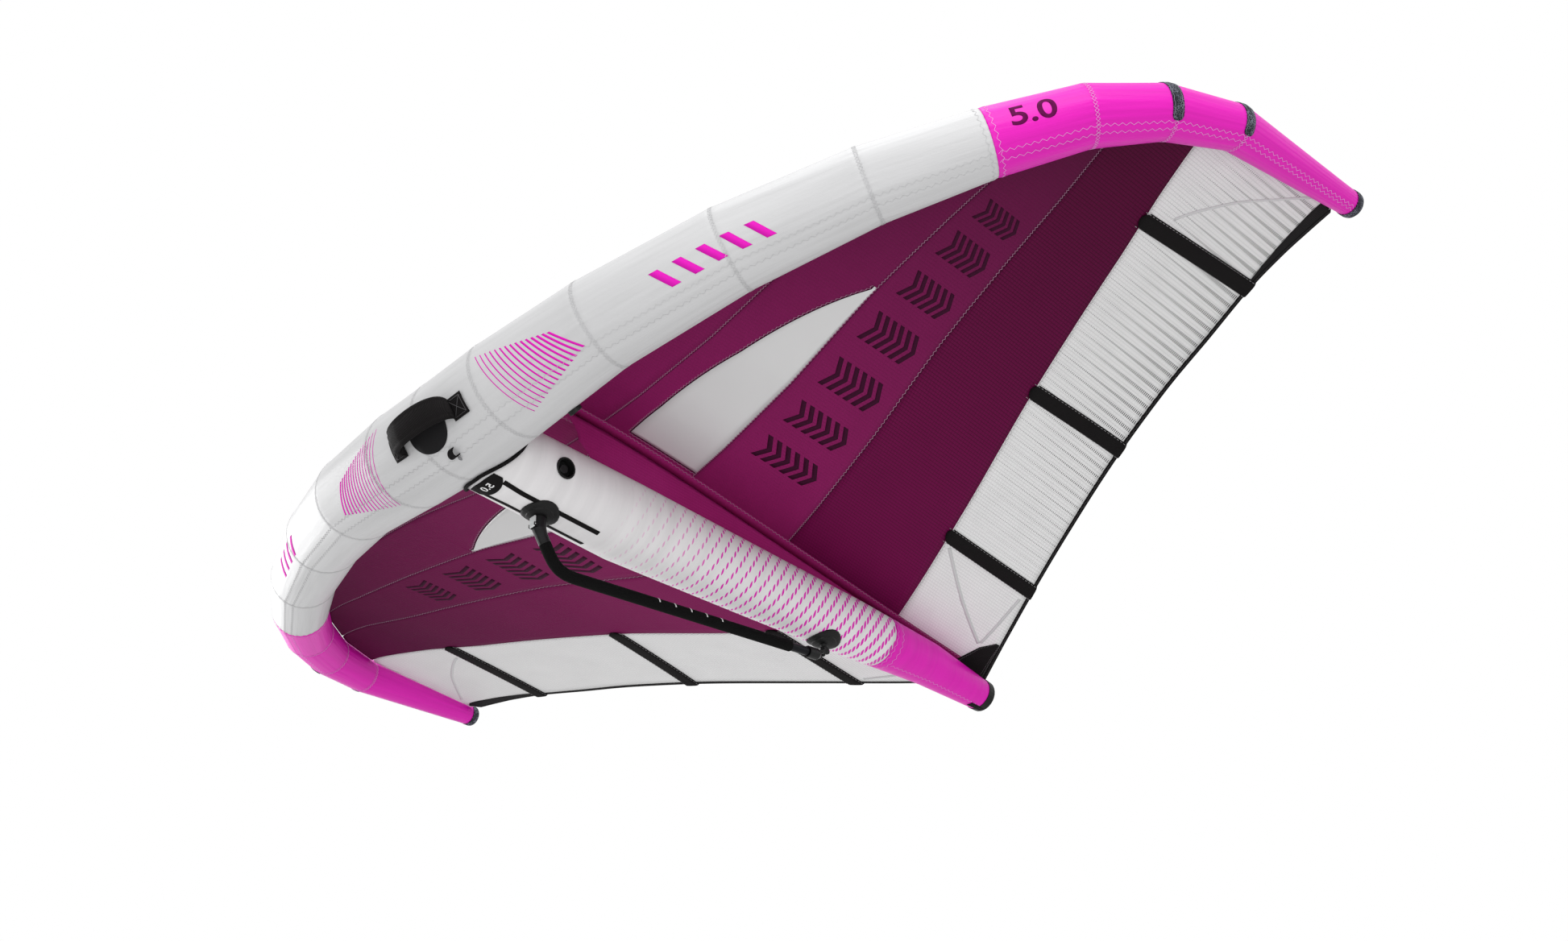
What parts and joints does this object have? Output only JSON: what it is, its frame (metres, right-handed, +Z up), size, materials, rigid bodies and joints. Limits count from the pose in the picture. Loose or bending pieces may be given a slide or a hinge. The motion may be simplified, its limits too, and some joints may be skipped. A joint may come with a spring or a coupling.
{
  "type": "wingfoil wing",
  "caption": "Hand-held inflatable wing with a segmented leading edge, a centre strut, a cambered canopy with windows and a quick-release boom.",
  "frame": {"origin": "centre of the boom's hand grip", "axes": "+Z up in flight, +Y along the strut to the trailing edge, +X to one wing tip"},
  "size_m": [3.3072, 2.0068, 0.6914],
  "materials": {
    "dacron_grey": "coated woven polyester, matt",
    "dacron_magenta": "dyed woven polyester, matt",
    "dacron_white": "coated woven polyester, matt",
    "canopy_magenta": "ripstop cloth, slight sheen",
    "canopy_burgundy": "ripstop cloth, matt",
    "canopy_white": "ripstop cloth, matt",
    "window_film": "clear film that looks pale grey",
    "black_cloth": "woven, matt",
    "webbing": "woven webbing, matt",
    "bladder": "clear film",
    "black_rubber": "moulded, pebbled",
    "black_plastic": "moulded nylon",
    "grey_plastic": "moulded, satin",
    "grip_foam": "foam, matt",
    "boom_metal": "black anodised",
    "batten": "pultruded glass fibre"
  },
  "bodies": {
    "wing": {"batten_inner_left": "batten", "batten_inner_right": "batten", "batten_middle_left": "batten", "batten_middle_right": "batten", "batten_outer_left": "batten", "batten_outer_right": "batten", "batten_pocket_inner_left": "black_cloth", "batten_pocket_inner_right": "black_cloth", "batten_pocket_middle_left": "black_cloth", "batten_pocket_middle_right": "black_cloth", "batten_pocket_outer_left": "black_cloth", "batten_pocket_outer_right": "black_cloth", "boom_front_base": "black_rubber", "boom_rear_base": "black_rubber", "canopy_front_left": "canopy_magenta", "canopy_front_right": "canopy_magenta", "canopy_middle_left": "canopy_magenta", "canopy_middle_right": "canopy_magenta", "canopy_rear_left": "canopy_burgundy", "canopy_rear_right": "canopy_burgundy", "canopy_trailing_left": "canopy_white", "canopy_trailing_right": "canopy_white", "canopy_window_left": "canopy_magenta", "canopy_window_right": "canopy_magenta", "clew_patch": "black_cloth", "handle_pad": "black_cloth", "handle_strap": "webbing", "leading_edge_bladder": "bladder", "leading_edge_centre_sleeve_left": "dacron_grey", "leading_edge_centre_sleeve_right": "dacron_grey", "leading_edge_tip_sleeve_left": "dacron_magenta", "leading_edge_tip_sleeve_right": "dacron_magenta", "leading_edge_valve_body": "black_plastic", "leash_loop": "webbing", "strut_bladder": "bladder", "strut_front_patch": "black_cloth", "strut_front_sleeve": "dacron_white", "strut_joint_binding": "black_cloth", "strut_rear_sleeve": "dacron_magenta", "strut_tail_cap": "black_rubber", "strut_valve_body": "black_rubber", "tip_cap_left": "black_rubber", "tip_cap_right": "black_rubber", "tip_corner_patch_left": "black_cloth", "tip_corner_patch_right": "black_cloth", "trailing_edge_tape": "black_cloth", "wear_patch_inner_left": "black_cloth", "wear_patch_inner_right": "black_cloth", "wear_patch_outer_left": "black_cloth", "wear_patch_outer_right": "black_cloth", "web": "canopy_magenta", "window_left": "window_film", "window_right": "window_film"},
    "boom": {"boom_front_socket": "black_plastic", "boom_tube": "boom_metal", "boom_grip": "grip_foam", "boom_rear_fitting": "black_plastic"},
    "latch": {"boom_latch": "grey_plastic"},
    "strut_valve_lid": {"strut_valve_lid": "black_plastic"},
    "leading_edge_valve_lid": {"leading_edge_valve_lid": "black_plastic"}
  },
  "joints": [
    {"name": "boom_release", "type": "hinge", "parent": "wing", "child": "boom", "pos_m": [0, 0.49685, 0.08569], "axis": [1, 0, 0], "range_deg": [0, 35]},
    {"name": "latch_press", "type": "hinge", "parent": "boom", "child": "latch", "pos_m": [0, -0.46298, 0.04072], "axis": [1, 0, 0], "range_deg": [0, 25], "stiffness_Nm_per_rad": 0.05, "springref_deg": -11.46},
    {"name": "strut_valve_open", "type": "hinge", "parent": "wing", "child": "strut_valve_lid", "pos_m": [0.08618, -0.43651, 0.15943], "axis": [0.2079, 0, 0.9781], "range_deg": [0, 100]},
    {"name": "leading_edge_valve_open", "type": "hinge", "parent": "wing", "child": "leading_edge_valve_lid", "pos_m": [0.27486, -0.58629, 0.14696], "axis": [-0.9993, 0.0301, -0.022], "range_deg": [0, 95]}
  ]
}
